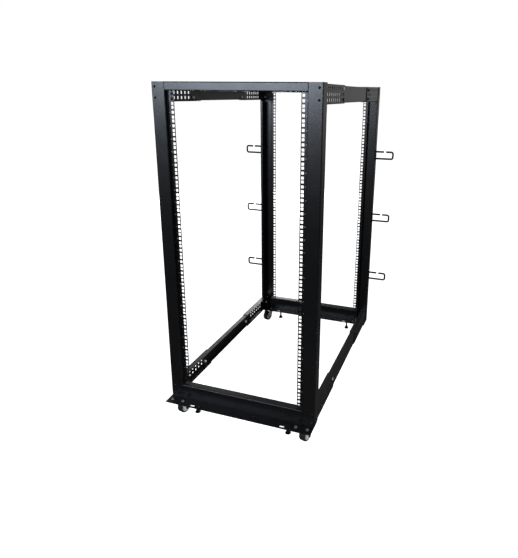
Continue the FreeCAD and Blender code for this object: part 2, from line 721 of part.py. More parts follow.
def make_fork(end, side, x, y):
    """A caster's bent fork with the wheel's axle, below its swivel head and king pin."""
    body = new_body(f"{end}_{side}_caster_fork")
    head_top = f"({CASTER_PLATE_LOW} - Sizes.seat_gap)"
    head_low = f"({head_top} - Sizes.swivel_thick)"
    fork_top = f"({head_low} + Sizes.fork_seat)"
    fork_low = "(Sizes.wheel_radius - Sizes.cheek_radius)"
    cheek_outside = "(Sizes.hub_wide / 2 + Sizes.hub_gap + Sizes.fork_sheet)"
    bent = new_sketch(body, "XZ_Plane")
    draw_outline(bent, folded_corners([
        (cheek_outside, fork_low),
        (cheek_outside, fork_top),
        (f"-{cheek_outside}", fork_top),
        (f"-{cheek_outside}", fork_low),
    ], cell("fork_sheet"), cell("fork_bend")))
    pad(body, bent, "2 * (Sizes.caster_trail + Sizes.cheek_radius)", both_ways=True)
    trim_cheeks(body, trail_sign(end), fork_top)

    axle = new_sketch(body, "YZ_Plane")
    draw_circle(axle, f"({trail_sign(end)}) * Sizes.caster_trail", "Sizes.wheel_radius",
                "Sizes.axle_radius")
    pad(body, axle, f"2 * {cheek_outside}", both_ways=True)

    pin_top = "(Sizes.caster_height - Sizes.stem_gap)"
    head = new_sketch(body, "XZ_Plane")
    draw_polygon(head, [
        ("0", head_low),
        ("Sizes.swivel_radius - Sizes.swivel_bevel", head_low),
        ("Sizes.swivel_radius", f"{head_low} + Sizes.swivel_bevel"),
        ("Sizes.swivel_radius", head_top),
        ("Sizes.king_pin_radius", head_top),
        ("Sizes.king_pin_radius", pin_top),
        ("0", pin_top),
    ])
    revolve(body, head, "Z_Axis")
    place(body, x=x, y=y)
    turn_clockwise(body)
    return body


def trim_cheeks(body, sign, fork_top):
    """Cut a fork's cheeks to their side outline, which runs down to a round end."""
    trail = f"({sign}) * Sizes.caster_trail"
    half_head = "(Sizes.swivel_radius - Sizes.swivel_bevel)"
    reach = "(Sizes.caster_trail + 2 * Sizes.cheek_radius)"

    def touch_step(corner_x, side):
        """Unit step from the round end's centre to where a top corner's line touches it."""
        across = value(f"{corner_x} - {trail}")
        up = value(f"{fork_top} - Sizes.wheel_radius")
        swing = math.acos(value("Sizes.cheek_radius") / math.hypot(across, up))
        angle = math.atan2(up, across) + side * swing
        return math.cos(angle), math.sin(angle)

    sides = new_sketch(body, "YZ_Plane")
    draw_outline(sides, [
        (f"-{reach}", fork_top),
        (f"-{half_head}", fork_top),
        (trail, cell("wheel_radius"), cell("cheek_radius"),
         touch_step(f"-{half_head}", 1), touch_step(half_head, -1)),
        (half_head, fork_top),
        (reach, fork_top),
        (reach, "0"),
        (f"-{reach}", "0"),
    ])
    cut(body, sides, "4 * Sizes.wheel_wide")


def make_wheel(end, side, x, y):
    """A caster's hub and the tyre on it, as two sub-parts."""
    bore = "(Sizes.axle_radius + Sizes.axle_gap)"
    trail = f"({trail_sign(end)}) * Sizes.caster_trail"
    axle_x = f"{x} + {trail} * sin(Sizes.caster_turn)"
    axle_y = f"{y} + {trail} * cos(Sizes.caster_turn)"

    hub = new_body(f"{end}_{side}_caster_hub")
    half_hub = "(Sizes.hub_wide / 2)"
    half_tyre = "(Sizes.wheel_wide / 2)"
    rim_inside = "(Sizes.hub_radius - Sizes.hub_rim)"
    floor = f"({half_tyre} - Sizes.hub_recess)"
    right_side = [
        (half_hub, bore),
        (half_hub, "Sizes.hub_boss_radius"),
        (floor, rim_inside),
        (half_tyre, rim_inside),
        (half_tyre, "Sizes.hub_radius"),
    ]
    hub_outline = new_sketch(hub, "XY_Plane")
    draw_polygon(hub_outline, right_side + [(f"-{across}", up) for across, up in right_side[::-1]])
    revolve(hub, hub_outline, "X_Axis")

    tyre = new_body(f"{end}_{side}_caster_tyre")
    tyre_outline = new_sketch(tyre, "XY_Plane")
    draw_polygon(tyre_outline, [
        (f"-{half_tyre}", "Sizes.hub_radius"),
        (half_tyre, "Sizes.hub_radius"),
        (half_tyre, "Sizes.wheel_radius - Sizes.tread_drop"),
        (f"{half_tyre} - Sizes.tread_side", "Sizes.wheel_radius"),
        (f"Sizes.tread_side - {half_tyre}", "Sizes.wheel_radius"),
        (f"-{half_tyre}", "Sizes.wheel_radius - Sizes.tread_drop"),
    ])
    revolve(tyre, tyre_outline, "X_Axis")
    for body in (hub, tyre):
        place(body, x=axle_x, y=axle_y, z="Sizes.wheel_radius")
        turn_clockwise(body)
    return [hub, tyre]


# ------------------------------------------------------------------------------- assembly

bodies = []
for end in (FRONT, REAR):
    for side in (LEFT, RIGHT):
        bodies.append(make_post(side, end))
        for level in ("top", "base"):
            bodies.append(make_sleeve(side, end, level))
    bodies.append(make_top_beam(end))
    bodies.append(make_base_beam(end))
    bodies.append(make_base_plate(end))
for side in (LEFT, RIGHT):
    for level in ("top", "base"):
        bodies.append(make_middle_rail(side, level))
    for number in (1, 2, 3):
        bodies.append(make_hook(side, number))
for where in corner_places(cell("foot_spacing"), FOOT_FROM_PLANE):
    bodies.append(make_levelling_foot(*where))
for where in corner_places(cell("caster_spacing"), CASTER_FROM_PLANE):
    bodies.append(make_fork(*where))
    bodies.extend(make_wheel(*where))

doc.recompute()
for item in doc.Objects:
    if {"Invalid", "Error"} & set(item.State):
        raise RuntimeError(f"{item.Label}: {item.State}")
for body in bodies:
    if body.Shape.isNull() or not body.Shape.isValid() or len(body.Shape.Solids) != 1:
        raise RuntimeError(f"{body.Label} is not one valid solid")
for body in bodies:
    body.Shape.exportStep(f"parts/{body.Label}.step")
print(f"{len(bodies)} sub-parts written")
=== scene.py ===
"""Finishes, fasteners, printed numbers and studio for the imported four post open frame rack.

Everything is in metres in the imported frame: +Z up, the rack's front faces -Y, and the
origin is on the floor under the middle of the rack.
"""

import json
import logging
import math
from dataclasses import dataclass
from enum import Enum
from functools import cache
from itertools import product
from typing import Callable

import bpy
import numpy as np
from mathutils import Matrix, Vector

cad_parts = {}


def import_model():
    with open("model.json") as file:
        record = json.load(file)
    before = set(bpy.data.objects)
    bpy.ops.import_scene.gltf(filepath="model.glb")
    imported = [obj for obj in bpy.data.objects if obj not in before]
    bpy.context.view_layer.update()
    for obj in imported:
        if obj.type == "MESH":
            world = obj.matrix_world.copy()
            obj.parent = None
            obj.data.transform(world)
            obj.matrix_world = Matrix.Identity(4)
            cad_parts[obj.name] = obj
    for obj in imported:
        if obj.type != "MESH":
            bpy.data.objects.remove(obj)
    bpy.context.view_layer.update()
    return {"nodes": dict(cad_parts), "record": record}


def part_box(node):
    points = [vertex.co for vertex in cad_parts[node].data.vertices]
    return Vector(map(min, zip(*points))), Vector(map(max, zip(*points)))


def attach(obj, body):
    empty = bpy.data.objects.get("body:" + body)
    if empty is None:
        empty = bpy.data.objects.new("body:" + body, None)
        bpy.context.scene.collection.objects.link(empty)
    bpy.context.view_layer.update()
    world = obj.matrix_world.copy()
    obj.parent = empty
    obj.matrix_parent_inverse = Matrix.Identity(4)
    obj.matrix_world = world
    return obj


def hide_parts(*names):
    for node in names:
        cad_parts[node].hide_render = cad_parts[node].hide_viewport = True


LOG = logging.getLogger("rack")
MM = 0.001
UNIT_PITCH = 44.45 * MM
UNITS = 25
UNITS_ABOVE_BEAM = 3.0 * MM        # base beam's top to the lowest unit
FACE_RECESS = 15.0 * MM            # a post's outer face to its mounting plane
FOLD_X = 250.0 * MM                # middle of the rack to the fold beside the flange
PLATE_SHEET = 3.0 * MM
RING_TALL = 42.0 * MM              # outer height of a cable hook's wire
UP = Vector((0, 0, 1)).freeze()
FULL_TURN = 2 * math.pi
EASED = 0.97                       # what is left of a radius where its edge is eased
SHARP_ABOVE = 0.6                  # radians between faces
TONE_STOPS = (0.35, 0.65)          # where a noise has its darkest and its lightest tone
NOISE_SPAN = (0.3, 0.7)            # the part of a noise that is stretched to a range
NO_TRIANGLES = np.zeros((0, 3), dtype=np.int64)

Colour = tuple[float, float, float]
Outline = Callable[[np.ndarray], np.ndarray]
# for each ring its size, its height and, unless it is round, its outline
Profile = list[tuple[float, float] | tuple[float, float, Outline]]


class End(Enum):
    """One of the two frames that the side rails join."""

    FRONT = "front"
    REAR = "rear"

    def pick(self, front: float, rear: float) -> float:
        """One of two values, by this end."""
        return front if self is End.FRONT else rear

    @property
    def outward(self) -> float:
        """Sign of Y for the way that this frame's posts face."""
        return self.pick(-1.0, 1.0)

    @property
    def body(self) -> str:
        """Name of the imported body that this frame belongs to."""
        return f"{self.value}_frame"


class Side(Enum):
    """Left or right, seen from the front."""

    LEFT = "left"
    RIGHT = "right"

    @property
    def sign(self) -> float:
        """Sign of X on this side."""
        return -1.0 if self is Side.LEFT else 1.0


class Level(Enum):
    """The top or the base pair of side rails."""

    TOP = "top"
    BASE = "base"


@dataclass(frozen=True)
class Corner:
    """One of the rack's four corners, with its post, sleeves, foot and caster."""

    end: End
    side: Side

    @property
    def name(self) -> str:
        """How the names of the corner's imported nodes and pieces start."""
        return f"{self.end.value}_{self.side.value}"

    def box(self, part: str) -> tuple[Vector, Vector]:
        """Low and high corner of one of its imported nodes."""
        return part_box(f"{self.name}_{part}")


CORNERS = [Corner(end, side) for end in End for side in Side]


def outermost(low: Vector, high: Vector) -> float:
    """The most that a box reaches from the plane x = 0, to either side."""
    return max(abs(low.x), abs(high.x))


def linked(thing: bpy.types.Object) -> bpy.types.Object:
    """The object, once it is in the scene."""
    bpy.context.scene.collection.objects.link(thing)
    return thing


# --------------------------------------------------------------------------- surfaces

@dataclass
class Shape:
    """A mesh in arrays: points of shape (n, 3) and faces as lists of quads and triangles."""

    points: np.ndarray
    quads: np.ndarray
    triangles: np.ndarray

    @staticmethod
    def joined(shapes: list["Shape"]) -> "Shape":
        """Put several shapes into one.

        Args:
            shapes: The shapes to join, none of which is changed.

        Returns:
            One shape that holds them all, with their face indices moved along.
        """
        starts = np.cumsum([0] + [len(s.points) for s in shapes[:-1]])
        return Shape(
            np.concatenate([s.points for s in shapes]),
            np.concatenate([s.quads + k for s, k in zip(shapes, starts)]),
            np.concatenate([s.triangles + k for s, k in zip(shapes, starts)]),
        )

    def moved(self, matrix: Matrix) -> "Shape":
        """The shape carried by a rigid 4 x 4 matrix."""
        m = np.array(matrix)
        return Shape(self.points @ m[:3, :3].T + m[:3, 3], self.quads, self.triangles)

    def seated(self, place: tuple[float, float, float] | Vector, direction: Vector,
               turn: float = 0.0) -> "Shape":
        """The shape, drawn about +Z, put at a place and pointed in a direction.

        Args:
            place: Where the shape's origin goes.
            direction: Where its +Z points.
            turn: Angle about that direction, in radians.

        Returns:
            The shape there.
        """
        rotation = direction.to_track_quat("Z", "Y").to_matrix().to_4x4()
        return self.moved(Matrix.Translation(place) @ rotation @ Matrix.Rotation(turn, 4, "Z"))

    def as_object(self, name: str, material: bpy.types.Material,
                  smooth: bool = False) -> bpy.types.Object:
        """Make a Blender object of the shape.

        Args:
            name: Name of the object and of its mesh.
            material: Its one material.
            smooth: True for smooth shading, with edges over SHARP_ABOVE left sharp.

        Returns:
            The object, linked to the scene, at the origin.
        """
        mesh = bpy.data.meshes.new(name)
        sizes = np.concatenate([np.full(len(self.quads), 4), np.full(len(self.triangles), 3)])
        corners = np.concatenate([self.quads.ravel(), self.triangles.ravel()])
        mesh.vertices.add(len(self.points))
        mesh.vertices.foreach_set("co", self.points.astype(np.float32).ravel())
        mesh.loops.add(len(corners))
        mesh.loops.foreach_set("vertex_index", corners.astype(np.int32))
        mesh.polygons.add(len(sizes))
        mesh.polygons.foreach_set("loop_start",
                                  np.concatenate([[0], np.cumsum(sizes)[:-1]]).astype(np.int32))
        mesh.polygons.foreach_set("loop_total", sizes.astype(np.int32))
        mesh.update(calc_edges=True)
        mesh.validate()
        mesh.polygons.foreach_set("use_smooth", np.full(len(sizes), smooth))
        if smooth:
            mesh.set_sharp_from_angle(angle=SHARP_ABOVE)
        mesh.materials.append(material)
        return linked(bpy.data.objects.new(name, mesh))


def banded(lower: np.ndarray, upper: np.ndarray, around: int) -> np.ndarray:
    """Quads that join each ring to another point by point, its last point to its first.

    Args:
        lower: Numbers of the rings to join from.
        upper: For each, the number of the ring to join to.
        around: Points in each ring.

    Returns:
        The quads, of shape (n, 4).
    """
    step = np.arange(around)
    following = (step + 1) % around
    low, high = lower[:, None] * around, upper[:, None] * around
    return np.stack([low + step, low + following, high + following, high + step],
                    axis=-1).reshape(-1, 4)


def lofted(rings: np.ndarray) -> Shape:
    """Skin a stack of rings and close its ends.

    Each end is closed by a fan about the mean of its ring. The rings run anticlockwise
    seen from the far end of the stack, so that the faces point outwards.

    Args:
        rings: Points of shape (rings, points, 3).

    Returns:
        The closed skin.
    """
    count, around = rings.shape[:2]
    turn = np.arange(around)
    after = (turn + 1) % around
    last = (count - 1) * around
    first_centre = np.full(around, count * around)
    triangles = np.concatenate([
        np.stack([first_centre, after, turn], axis=-1),
        np.stack([first_centre + 1, last + turn, last + after], axis=-1),
    ])
    points = np.concatenate([rings.reshape(-1, 3), rings[0].mean(axis=0)[None],
                             rings[-1].mean(axis=0)[None]])
    return Shape(points, banded(np.arange(count - 1), np.arange(1, count), around), triangles)


def hexagon_ring(angle: np.ndarray) -> np.ndarray:
    """Radius of a hexagon with unit flats at each angle: one over the cosine of the angle
    to the nearest flat's normal."""
    sector = math.pi / 3
    return 1.0 / np.cos((angle + sector / 2) % sector - sector / 2)


def rings_of(profile: Profile, around: int) -> np.ndarray:
    """The rings of a profile about +Z.

    The point at angle a of a ring is (r(a) cos a, r(a) sin a, z), where r(a) is the ring's
    size times its outline's radius at that angle.

    Args:
        profile: The rings.
        around: Points in each ring.

    Returns:
        Points of shape (rings, points, 3).
    """
    angle = np.arange(around) * (FULL_TURN / around)
    radius = np.array([size * (outline[0](angle) if outline else np.ones(around))
                       for size, _, *outline in profile])
    height = np.repeat(np.array([ring[1] for ring in profile])[:, None], around, axis=1)
    return np.stack([radius * np.cos(angle), radius * np.sin(angle), height], axis=-1)


def stacked(profile: Profile, around: int = 24) -> Shape:
    """The closed solid of a profile, with so many points in each ring."""
    return lofted(rings_of(profile, around))


def ringed(profile: Profile, around: int = 24) -> Shape:
    """A ring with a hole through it: the profile's last ring is joined to its first.

    Args:
        profile: The rings, up the outside and down the bore.
        around: Points in each ring.

    Returns:
        The ring.
    """
    order = np.arange(len(profile))
    return Shape(rings_of(profile, around).reshape(-1, 3), banded(order, np.roll(order, -1), around),
                 NO_TRIANGLES)


def washer(radius: float, thick: float) -> Profile:
    """The rings of a washer with eased edges, up from z = 0."""
    return [(radius * EASED, 0.0), (radius, thick * 0.2),
            (radius, thick * 0.8), (radius * EASED, thick)]


def dome(radius: float, base: float, rise: float, span: tuple[float, float],
         count: int = 6) -> Profile:
    """Rings whose radius falls as a cosine while their height grows as a sine.

    Args:
        radius: The radius at angle zero.
        base: The height at angle zero.
        rise: From there to the height at a quarter turn.
        span: First and last angle.
        count: Number of rings.

    Returns:
        The rings.
    """
    return [(radius * math.cos(t), base + rise * math.sin(t))
            for t in np.linspace(*span, count)]


def written(text: str, tall: float) -> Shape:
    """A line of plain type as a flat shape about the origin, facing +Z.

    Args:
        text: What it says.
        tall: Height of the type's body.

    Returns:
        The filled outlines, as triangles.
    """
    curve = bpy.data.curves.new("type", "FONT")
    curve.body = text
    curve.size = tall
    curve.align_x = "CENTER"
    curve.align_y = "CENTER"
    curve.resolution_u = 2
    holder = bpy.data.objects.new("type", curve)
    mesh = bpy.data.meshes.new_from_object(holder)
    mesh.calc_loop_triangles()
    points = np.zeros(3 * len(mesh.vertices), dtype=np.float32)
    corners = np.zeros(3 * len(mesh.loop_triangles), dtype=np.int32)
    mesh.vertices.foreach_get("co", points)
    mesh.loop_triangles.foreach_get("vertices", corners)
    bpy.data.objects.remove(holder)
    bpy.data.meshes.remove(mesh)
    bpy.data.curves.remove(curve)
    return Shape(points.reshape(-1, 3).astype(float), np.zeros((0, 4), dtype=np.int64),
                 corners.reshape(-1, 3).astype(np.int64))


def frame_plane(end: End) -> float:
    """Y of the plane that equipment bolts to: the outer face of a post, less its recess."""
    low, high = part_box(f"{end.value}_left_post")
    return end.pick(low.y, high.y) - end.outward * FACE_RECESS


def unit_middle(unit: int) -> float:
    """Height of the middle hole of a rack unit, counted from 1 at the bottom."""
    _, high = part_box("front_base_beam")
    return high.z + UNITS_ABOVE_BEAM + (unit - 0.5) * UNIT_PITCH


# --------------------------------------------------------------------------- finishes

class NodeGraph:
    """Short calls for making and joining the nodes of one tree."""

    def __init__(self, tree: bpy.types.NodeTree) -> None:
        """Keep the tree's nodes and links."""
        self.nodes = tree.nodes
        self.links = tree.links

    def add(self, kind: str, **settings: object) -> bpy.types.Node:
        """Add a node and set its properties or, with a capital letter, its input sockets.

        Args:
            kind: Blender's name of the node type.
            settings: Properties in lower case; sockets with a capital, _ for a space.

        Returns:
            The node.
        """
        node = self.nodes.new(kind)
        for key, setting in settings.items():
            if key[0].isupper():
                node.inputs[key.replace("_", " ")].default_value = setting
            else:
                setattr(node, key, setting)
        return node

    def join(self, source: bpy.types.Node, output: str | int, target: bpy.types.Node,
             entry: str | int) -> None:
        """Link one node's output to another's input, each by its name or number."""
        self.links.new(source.outputs[output], target.inputs[entry])


@dataclass(frozen=True)
class Grain:
    """A noise over an object's own coordinates."""

    scale: float                           # cells per metre
    detail: float = 2.0                    # octaves
    roughness: float = 0.5                 # how much the finer ones count


class NodeWeb(NodeGraph):
    """The nodes of a material, by what they do to its shader."""

    def __init__(self, name: str) -> None:
        """Make a material with an empty Principled shader."""
        self.material = bpy.data.materials.new(name)
        self.material.use_nodes = True
        super().__init__(self.material.node_tree)
        self.shader = self.nodes["Principled BSDF"]

    def noise(self, grain: Grain) -> bpy.types.Node:
        """The noise of a grain."""
        where = self.add("ShaderNodeTexCoord")
        cloud = self.add("ShaderNodeTexNoise", Scale=grain.scale, Detail=grain.detail,
                         Roughness=grain.roughness)
        self.join(where, "Object", cloud, "Vector")
        return cloud

    def tinted(self, grain: Grain, dark: Colour, light: Colour) -> None:
        """Colour the shader by a grain, between two colours."""
        ramp = self.add("ShaderNodeValToRGB")
        for stop, place, tone in zip(ramp.color_ramp.elements, TONE_STOPS, (dark, light)):
            stop.position = place
            stop.color = (*tone, 1)
        self.join(self.noise(grain), "Fac", ramp, "Fac")
        self.join(ramp, "Color", self.shader, "Base Color")

    def glossed(self, grain: Grain, least: float, most: float) -> None:
        """Vary the shader's roughness by a grain, between two values."""
        stretch = self.add("ShaderNodeMapRange", From_Min=NOISE_SPAN[0], From_Max=NOISE_SPAN[1],
                           To_Min=least, To_Max=most)
        self.join(self.noise(grain), "Fac", stretch, "Value")
        self.join(stretch, "Result", self.shader, "Roughness")

    def bumped(self, grain: Grain, strength: float, depth: float) -> None:
        """Raise the shader's surface by a grain, depth in metres."""
        self.bump = self.add("ShaderNodeBump", Strength=strength, Distance=depth)
        self.join(self.noise(grain), "Fac", self.bump, "Height")
        self.join(self.bump, "Normal", self.shader, "Normal")

    def worn_edges(self, radius: float, colour: Colour, amount: float,
                   onset: tuple[float, float] = (0.98, 0.75)) -> None:
        """Round the edges for light and thin the coat over them; bumped comes first.

        The wear is how far the rounded normal has turned from the face's own, by their dot
        product, stretched to the amount.

        Args:
            radius: Radius of the rounding, in metres.
            colour: The colour that shows where the coat is thin.
            amount: The most of that colour, from 0 to 1.
            onset: The dot products where the wear starts and where it is full.
        """
        rounded = self.add("ShaderNodeBevel", samples=4, Radius=radius)
        self.join(rounded, "Normal", self.bump, "Normal")
        facing = self.add("ShaderNodeNewGeometry")
        dot = self.add("ShaderNodeVectorMath", operation="DOT_PRODUCT")
        self.join(rounded, "Normal", dot, 0)
        self.join(facing, "True Normal", dot, 1)
        wear = self.add("ShaderNodeMapRange", From_Min=onset[0], From_Max=onset[1],
                        To_Min=0.0, To_Max=amount)
        self.join(dot, "Value", wear, "Value")
        mix = self.add("ShaderNodeMix", data_type="RGBA")
        coat, metal, mixed = [socket for socket in (*mix.inputs, *mix.outputs)
                              if socket.type == "RGBA"]
        metal.default_value = (*colour, 1)
        base = self.shader.inputs["Base Color"]
        self.join(wear, "Result", mix, "Factor")
        self.links.new(base.links[0].from_socket, coat)
        self.links.new(mixed, base)


@dataclass(frozen=True)
class Finish:
    """A surface whose tone, gloss and height each follow a grain of their own."""

    name: str
    dark: Colour
    light: Colour
    tone: Grain
    gloss: tuple[float, float]             # least and most roughness
    sheen: Grain | None = None             # without one the roughness is even, the least
    relief: Grain | None = None
    relief_strength: float = 0.0
    relief_depth: float = 0.0
    metal: float = 0.0
    specular: float = 0.5
    glow: float = 0.0

    def web(self) -> NodeWeb:
        """The finish's nodes."""
        web = NodeWeb(self.name)
        web.tinted(self.tone, self.dark, self.light)
        if self.relief:
            web.bumped(self.relief, self.relief_strength, self.relief_depth)
        constants = {"Roughness": self.gloss[0], "Metallic": self.metal,
                     "Specular IOR Level": self.specular, "Emission Color": (1, 1, 1, 1),
                     "Emission Strength": self.glow}
        for entry, value in constants.items():
            web.shader.inputs[entry].default_value = value
        if self.sheen:
            web.glossed(self.sheen, *self.gloss)
        return web

    @cache
    def material(self) -> bpy.types.Material:
        """The finish's material, made on first use."""
        return self.web().material


@dataclass(frozen=True)
class PowderCoat(Finish):
    """Black powder coat: a fine orange peel, slow changes of tone and gloss, thin edges."""

    dark: Colour = (0.0034, 0.0034, 0.0036)
    light: Colour = (0.0044, 0.0044, 0.0047)
    tone: Grain = Grain(9.0, detail=4.0, roughness=0.6)
    gloss: tuple[float, float] = (0.245, 0.275)
    sheen: Grain | None = Grain(23.0, detail=3.0)
    relief: Grain | None = Grain(1100.0, detail=1.5)
    relief_strength: float = 0.35
    relief_depth: float = 0.06 * MM
    worn: Colour = (0.03, 0.03, 0.031)
    wear: float = 0.5
    edge_radius: float = 0.5 * MM

    def web(self) -> NodeWeb:
        """The finish's nodes, with the edges' wear."""
        web = super().web()
        web.worn_edges(self.edge_radius, self.worn, self.wear)
        return web


@dataclass(frozen=True)
class PlatedSteel(Finish):
    """Bare or plated steel: fine grain, slight tarnish."""

    tone: Grain = Grain(140.0, detail=4.0)
    gloss: tuple[float, float] = (0.28, 0.42)
    sheen: Grain | None = Grain(420.0, detail=3.0)
    relief: Grain | None = Grain(2600.0)
    relief_strength: float = 0.25
    relief_depth: float = 0.03 * MM
    metal: float = 1.0


FRONT_COAT = PowderCoat("black_powder_coat")
RAIL_COAT = PowderCoat("rail_powder_coat", dark=(0.004, 0.0039, 0.0037),
                       light=(0.0052, 0.005, 0.0048))
WIRE_COAT = PowderCoat("wire_coat", worn=(0.006, 0.006, 0.006), gloss=(0.35, 0.45),
                       relief=Grain(1500.0, detail=1.5))
ZINC = PlatedSteel("zinc_plate", (0.56, 0.56, 0.57), (0.7, 0.7, 0.71), gloss=(0.35, 0.45),
                   metal=0.35)
# zinc whose near-white colour is a painted glint, for the one rail bolt head that catches the light
GLINT_PAINTED_ZINC = PlatedSteel("zinc_with_painted_glint", (0.82, 0.82, 0.83), (0.93, 0.93, 0.94),
                          gloss=(0.2, 0.3), metal=0.3)
DULL_ZINC = PlatedSteel("dull_zinc", (0.12, 0.12, 0.122), (0.2, 0.2, 0.203),
                        gloss=(0.4, 0.55), metal=0.7)
BLACK_OXIDE = PlatedSteel("black_oxide", (0.018, 0.018, 0.02), (0.035, 0.035, 0.038),
                          gloss=(0.3, 0.45))
TYRE_RUBBER = Finish("tyre_rubber", (0.003, 0.003, 0.003), (0.008, 0.0078, 0.0076),
                     tone=Grain(160.0, detail=5.0, roughness=0.65), gloss=(0.55, 0.8),
                     sheen=Grain(300.0), relief=Grain(1800.0, detail=3.0),
                     relief_strength=0.5, relief_depth=0.1 * MM, specular=0.35)
HUB_PLASTIC = Finish("hub_plastic", (0.36, 0.36, 0.365), (0.44, 0.44, 0.445),
                     tone=Grain(120.0, detail=4.0), gloss=(0.32, 0.45), sheen=Grain(500.0),
                     relief=Grain(2400.0), relief_strength=0.2, relief_depth=0.04 * MM)
WHITE_INK = Finish("white_ink", (0.62, 0.62, 0.62), (0.8, 0.8, 0.8),
                   tone=Grain(700.0, detail=3.0), gloss=(0.55, 0.55), relief=Grain(1100.0),
                   relief_strength=0.2, relief_depth=0.04 * MM)
FLOOR = Finish("studio_floor", (0.82, 0.82, 0.82), (0.85, 0.85, 0.85),
               tone=Grain(3.0, detail=3.0), gloss=(0.8, 0.8), specular=0.1, glow=1.05)


# --------------------------------------------------------------------------- the rack

@dataclass(frozen=True)
class PackedPieces:
    """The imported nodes, each of which gets the finish that its name asks for."""

    nodes: dict[str, bpy.types.Object]

    FINISHES = {
        FRONT_COAT: ("post", "beam", "base_plate"),
        RAIL_COAT: ("sleeve", "middle_rail"),
        WIRE_COAT: ("cable_hook",),
        BLACK_OXIDE: ("levelling_foot",),
        ZINC: ("caster_fork",),
        HUB_PLASTIC: ("caster_hub",),
        TYRE_RUBBER: ("caster_tyre",),
    }

    def dress(self) -> None:
        """Give every node its finish."""
        for name, piece in self.nodes.items():
            finish = next(finish for finish, words in self.FINISHES.items()
                          if any(word in name for word in words))
            piece.data.materials.clear()
            piece.data.materials.append(finish.material())
        LOG.info("%d packed pieces dressed", len(self.nodes))


@dataclass
class Kit:
    """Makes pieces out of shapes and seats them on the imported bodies."""

    triangles: int = 0                     # in all the pieces made so far

    def add(self, name: str, shapes: list[Shape], finish: Finish, body: str,
            smooth: bool = True) -> bpy.types.Object:
        """Join shapes into one piece, give it its finish and seat it.

        Args:
            name: The piece's name.
            shapes: Its shapes, already where they belong.
            finish: Its finish.
            body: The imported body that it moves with.
            smooth: True for smooth shading between sharp edges.

        Returns:
            The piece.
        """
        whole = Shape.joined(shapes)
        count = 2 * len(whole.quads) + len(whole.triangles)
        self.triangles += count
        LOG.info("%s on %s: %d triangles", name, body, count)
        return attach(whole.as_object(name, finish.material(), smooth), body)


@dataclass(frozen=True)
class ButtonScrew:
    """A round-headed machine screw with a hexagon socket."""

    head_radius: float = 4.2 * MM
    head_height: float = 2.3 * MM
    socket: float = 1.5 * MM
    socket_depth: float = 1.4 * MM

    def shape(self) -> Shape:
        """The head: a flat underside, a dome that falls as a cosine, and the socket.

        Returns:
            The closed solid about +Z, with its underside at z = 0.
        """
        r, h = self.head_radius, self.head_height
        return stacked([
            (r * 0.9, 0.0),
            (r, 0.15 * h),
            *dome(r, 0.0, h, (0.25, 1.15)),
            (self.socket * 1.12, h),
            (self.socket, h * 0.94, hexagon_ring),
            (self.socket, h - self.socket_depth, hexagon_ring),
            (self.socket * 0.3, h - self.socket_depth * 1.25),
        ])


@dataclass(frozen=True)
class CarriageHead:
    """The low domed head of a square-necked bolt."""

    radius: float = 6.6 * MM
    height: float = 3.2 * MM
    rim: float = 0.6 * MM

    def shape(self) -> Shape:
        """A thin upright rim under a dome whose radius falls as a cosine.

        Returns:
            The closed solid about +Z, with its underside at z = 0.
        """
        return stacked([
            (self.radius * EASED, 0.0),
            (self.radius, self.rim * 0.4),
            *dome(self.radius, self.rim, self.height - self.rim, (0.12, 1.45), count=8),
        ])


@dataclass(frozen=True)
class HexNut:
    """A plain nut on a washer, with chamfered corners and the end of its screw."""

    flats: float = 5.0 * MM
    height: float = 4.6 * MM
    thread_radius: float = 3.0 * MM
    thread_proud: float = 1.6 * MM
    washer_radius: float = 6.2 * MM
    washer_thick: float = 1.1 * MM

    def shape(self) -> Shape:
        """A washer, a hexagonal prism with its corners cut back to a circle, a screw's end.

        Returns:
            The closed solid about +Z, with its underside at z = 0.
        """
        f, r, low = self.flats, self.thread_radius, self.washer_thick
        high = low + self.height
        top = high + self.thread_proud
        return stacked([
            *washer(self.washer_radius, low),
            (f * 1.02, low),
            (f, low + 0.12 * self.height, hexagon_ring),
            (f, low + 0.86 * self.height, hexagon_ring),
            (f * 0.98, high),
            (r * 1.12, high),
            (r, high - 0.3 * MM),
            (r, top - 0.4 * MM),
            (r * 0.82, top),
        ])


@dataclass(frozen=True)
class HexBolt:
    """The hexagonal head of a bolt on its washer."""

    flats: float = 5.0 * MM
    height: float = 4.0 * MM
    washer_radius: float = 6.4 * MM
    washer_thick: float = 1.2 * MM

    def shape(self) -> Shape:
        """A washer under a hexagonal prism with a chamfered, slightly dished top.

        Returns:
            The closed solid about +Z, with its underside at z = 0.
        """
        f, low = self.flats, self.washer_thick
        high = low + self.height
        return stacked([
            *washer(self.washer_radius, low),
            (f, low, hexagon_ring),
            (f, low + 0.86 * self.height, hexagon_ring),
            (f * 0.96, high),
            (f * 0.7, high),
            (f * 0.62, high - 0.25 * MM),
        ])


@dataclass(frozen=True)
class StemNut:
    """A nut with a clear bore, for a stem that passes through it."""

    flats: float = 6.5 * MM
    height: float = 5.5 * MM
    bore: float = 4.15 * MM

    def shape(self) -> Shape:
        """A hexagonal ring with chamfered corners and a countersunk bore.

        Returns:
            The ring about +Z, with its underside at z = 0.
        """
        f, h, b = self.flats, self.height, self.bore
        return ringed([
            (f * EASED, 0.0),
            (f, 0.12 * h, hexagon_ring),
            (f, 0.88 * h, hexagon_ring),
            (f * EASED, h),
            (b * 1.1, h),
            (b, 0.93 * h),
            (b, 0.07 * h),
            (b * 1.1, 0.0),
        ])


